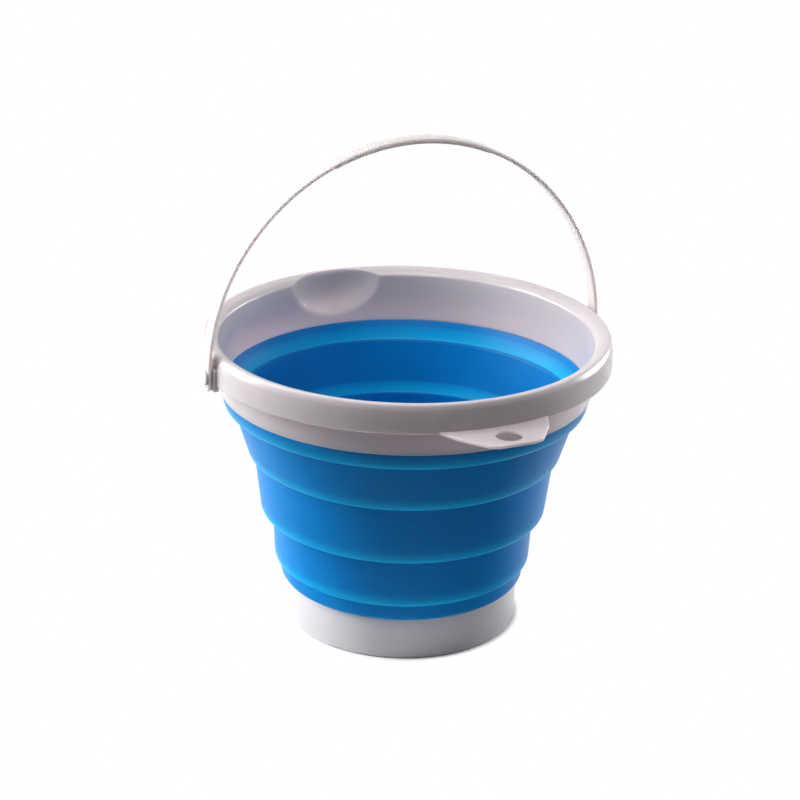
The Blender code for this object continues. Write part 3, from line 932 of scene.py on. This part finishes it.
class BUCKET_OT_stage(bpy.types.Operator):
    """Sets up the pale floor, the soft studio lights and the camera"""

    bl_idname = "bucket.stage"
    bl_label = "Stage"

    # The lamps: degrees round from the camera's side, degrees up, and the setting with their watts
    lamps = {
        "left_light": (-90, 42, "left_power"),
        "left_low_light": (-103, 12, "left_low_power"),
        "right_light": (90, 45, "right_power"),
        "right_back_light": (122, 8, "right_back_power"),
        "top_light": (0, 72, "top_power"),
    }
    lamp_distance = 1.4
    lamp_sides = (0.8, 0.7)

    # The camera: its place in front of the bucket, its small pan, its tilt down, its roll, and its lens
    camera_place = (0, -1.4206, 0.7082)
    camera_pan, camera_tilt, camera_roll = 0.0023, 0.3771, 0.0225
    sensor_width, lens = 36.0, 108.0
    clip_start, clip_end = 0.05, 20.0

    # The floor: the distances from the axis between which its shadow turns to white and its colour to that
    # of the far floor, how far it lies under the bucket, and its surface
    shadow_ring = {"From Min": 0.0738, "From Max": 0.0785}
    far_ring = {"From Min": 0.17, "From Max": 0.32}
    floor_drop, floor_steps = 0.0002, 96
    floor_roughness, floor_shine = 0.7, 0.1

    # How much a direction points to the camera's side where the backdrop starts to dim and where it is dim
    dim_range = {"From Min": -0.3, "From Max": 0.6, "To Min": 0.0}

    def execute(self, context):
        size = context.scene.bucket_stage
        self.add_floor(size)
        self.add_world(size)
        for name, (azimuth, rise, setting) in self.lamps.items():
            turn = size.camera_turn + math.radians(azimuth)
            self.add_light(name, turn, math.radians(rise), getattr(size, setting))
        self.add_camera(size)
        return {"FINISHED"}

    def backdrop(self, tree, size, place):
        """Which rays see the white background, and how bright: dim in a gloss towards the camera's side."""
        path = add_node(tree, "ShaderNodeLightPath")
        seen = path.outputs["Is Camera Ray"]
        for output in ("Is Transmission Ray", "Is Glossy Ray"):
            both = add_node(tree, "ShaderNodeMath", operation="MAXIMUM")
            tree.links.new(seen, both.inputs[0])
            tree.links.new(path.outputs[output], both.inputs[1])
            seen = both.outputs["Value"]
        camera_side = (math.sin(size.camera_turn), -math.cos(size.camera_turn), 0)
        way = add_node(tree, "ShaderNodeVectorMath", operation="NORMALIZE")
        toward = add_node(tree, "ShaderNodeVectorMath", {1: camera_side}, operation="DOT_PRODUCT")
        values = {**self.dim_range, "To Max": size.dim_side - 1}
        dimmed = add_node(tree, "ShaderNodeMapRange", values, interpolation_type="SMOOTHSTEP")
        strength = add_node(tree, "ShaderNodeMath", {2: 1.0}, operation="MULTIPLY_ADD")
        tree.links.new(place, way.inputs[0])
        wire(
            tree,
            (way, "Vector", toward, 0),
            (toward, "Value", dimmed, "Value"),
            (dimmed, "Result", strength, 0),
            (path, "Is Glossy Ray", strength, 1),
        )
        return seen, strength.outputs["Value"]

    def add_floor(self, size):
        shape = bmesh.new()
        bmesh.ops.create_circle(shape, cap_ends=True, segments=self.floor_steps, radius=size.floor_size)
        bmesh.ops.translate(shape, verts=shape.verts[:], vec=(0, 0, -self.floor_drop))
        material = bpy.data.materials.new("studio_floor")
        material.use_nodes = True
        tree = material.node_tree
        shader = tree.nodes["Principled BSDF"]
        shader.inputs["Roughness"].default_value = self.floor_roughness
        shader.inputs["Specular IOR Level"].default_value = self.floor_shine
        place = add_node(tree, "ShaderNodeTexCoord")
        distance = add_node(tree, "ShaderNodeVectorMath", operation="LENGTH")
        away = add_node(tree, "ShaderNodeMapRange", self.shadow_ring, interpolation_type="SMOOTHSTEP")
        afar = add_node(tree, "ShaderNodeMapRange", self.far_ring)
        paper = add_node(tree, "ShaderNodeMix", data_type="RGBA")
        paper.inputs["A"].default_value = (*size.floor_colour, 1)
        paper.inputs["B"].default_value = (*shaded(size.floor_colour, size.far_floor), 1)
        share = add_node(tree, "ShaderNodeMath", operation="MULTIPLY")
        white = add_node(tree, "ShaderNodeEmission", {"Color": (1, 1, 1, 1)})
        wire(
            tree,
            (place, "Object", distance, 0),
            (distance, "Value", away, "Value"),
            (distance, "Value", afar, "Value"),
            (afar, "Result", paper, "Factor"),
            (paper, "Result", shader, "Base Color"),
            (away, "Result", share, 0),
        )
        seen, strength = self.backdrop(tree, size, place.outputs["Object"])
        tree.links.new(seen, share.inputs[1])
        tree.links.new(strength, white.inputs["Strength"])
        self.mix_shaders(tree, share.outputs["Value"], shader.outputs["BSDF"], white.outputs["Emission"])
        floor = make_piece("studio_floor", shape, material)

    def add_world(self, size):
        """Soft room light, with a white backdrop behind the bucket and a dim room on the camera's side."""
        world = bpy.data.worlds.new("studio_room")
        bpy.context.scene.world = world
        world.use_nodes = True
        tree = world.node_tree
        room = tree.nodes["Background"]
        room.inputs["Color"].default_value = (1, 1, 1, 1)
        room.inputs["Strength"].default_value = size.room_light
        place = add_node(tree, "ShaderNodeTexCoord")
        seen, strength = self.backdrop(tree, size, place.outputs["Generated"])
        white = add_node(tree, "ShaderNodeBackground", {"Color": (1, 1, 1, 1)})
        tree.links.new(strength, white.inputs["Strength"])
        self.mix_shaders(tree, seen, room.outputs["Background"], white.outputs["Background"])

    def mix_shaders(self, tree, share, first, second):
        """Puts out the first shader, mixed with the second one by the share."""
        output = tree.nodes.get("Material Output") or tree.nodes["World Output"]
        both = add_node(tree, "ShaderNodeMixShader")
        tree.links.new(share, both.inputs["Fac"])
        tree.links.new(first, both.inputs[1])
        tree.links.new(second, both.inputs[2])
        tree.links.new(both.outputs["Shader"], output.inputs["Surface"])

    def add_light(self, name, azimuth, rise, power):
        """A soft rectangular light, by its direction from the bucket. Azimuth 0 is the camera's side."""
        level = math.cos(rise)
        away = Vector((math.sin(azimuth) * level, -math.cos(azimuth) * level, math.sin(rise)))
        data = bpy.data.lights.new(name, "AREA")
        data.shape = "RECTANGLE"
        data.size, data.size_y = self.lamp_sides
        data.energy = power
        lamp = bpy.data.objects.new(name, data)
        bpy.context.scene.collection.objects.link(lamp)
        lamp.location = Vector((0, 0, RIM_TOP / 2)) + away * self.lamp_distance
        lamp.rotation_mode = "QUATERNION"
        lamp.rotation_quaternion = (-away).to_track_quat("-Z", "Y")

    def add_camera(self, size):
        data = bpy.data.cameras.new("studio_camera")
        data.sensor_width, data.lens = self.sensor_width, self.lens
        data.clip_start, data.clip_end = self.clip_start, self.clip_end
        camera = bpy.data.objects.new("studio_camera", data)
        bpy.context.scene.collection.objects.link(camera)
        turn = Matrix.Rotation(size.camera_turn, 4, "Z")
        place = Matrix.Translation(self.camera_place)
        look = Matrix.Rotation(self.camera_pan, 4, "Z")
        look = look @ Matrix.Rotation(math.pi / 2 - self.camera_tilt, 4, "X")
        look = look @ Matrix.Rotation(self.camera_roll, 4, "Z")
        camera.matrix_world = turn @ place @ look
        bpy.context.scene.camera = camera
        bpy.context.scene.view_settings.view_transform = "Standard"


class BUCKET_PT_tools(bpy.types.Panel):
    """The bucket's settings and the operators that build it"""

    bl_idname = "BUCKET_PT_tools"
    bl_label = "Camp Bucket"
    bl_space_type = "VIEW_3D"
    bl_region_type = "UI"
    bl_category = "Bucket"

    def draw(self, context):
        for operator, settings in STEPS:
            box = self.layout.box()
            box.operator(operator.bl_idname)
            if settings:
                group = getattr(context.scene, settings)
                for name in group.__annotations__:
                    box.prop(group, name)


STEPS = (
    (BUCKET_OT_base_cup, "bucket_base"),
    (BUCKET_OT_folding_wall, "bucket_wall"),
    (BUCKET_OT_rim_ring, "bucket_rim"),
    (BUCKET_OT_pivot_pins, None),
    (BUCKET_OT_carry_handle, "bucket_handle"),
    (BUCKET_OT_stage, "bucket_stage"),
)

SETTINGS = {
    "bucket_base": BucketBaseSettings,
    "bucket_wall": BucketWallSettings,
    "bucket_rim": BucketRimSettings,
    "bucket_handle": BucketHandleSettings,
    "bucket_stage": BucketStageSettings,
}

CLASSES = (*SETTINGS.values(), *(operator for operator, settings in STEPS), BUCKET_PT_tools)


def register():
    for item in CLASSES:
        bpy.utils.register_class(item)
    for name, group in SETTINGS.items():
        setattr(bpy.types.Scene, name, PointerProperty(type=group))


def unregister():
    for name in SETTINGS:
        delattr(bpy.types.Scene, name)
    for item in reversed(CLASSES):
        bpy.utils.unregister_class(item)


def main():
    register()
    bpy.ops.bucket.base_cup()
    bpy.ops.bucket.folding_wall()
    bpy.ops.bucket.rim_ring()
    bpy.ops.bucket.pivot_pins()
    bpy.ops.bucket.carry_handle()
    bpy.ops.bucket.stage()


if __name__ == "__main__":
    main()
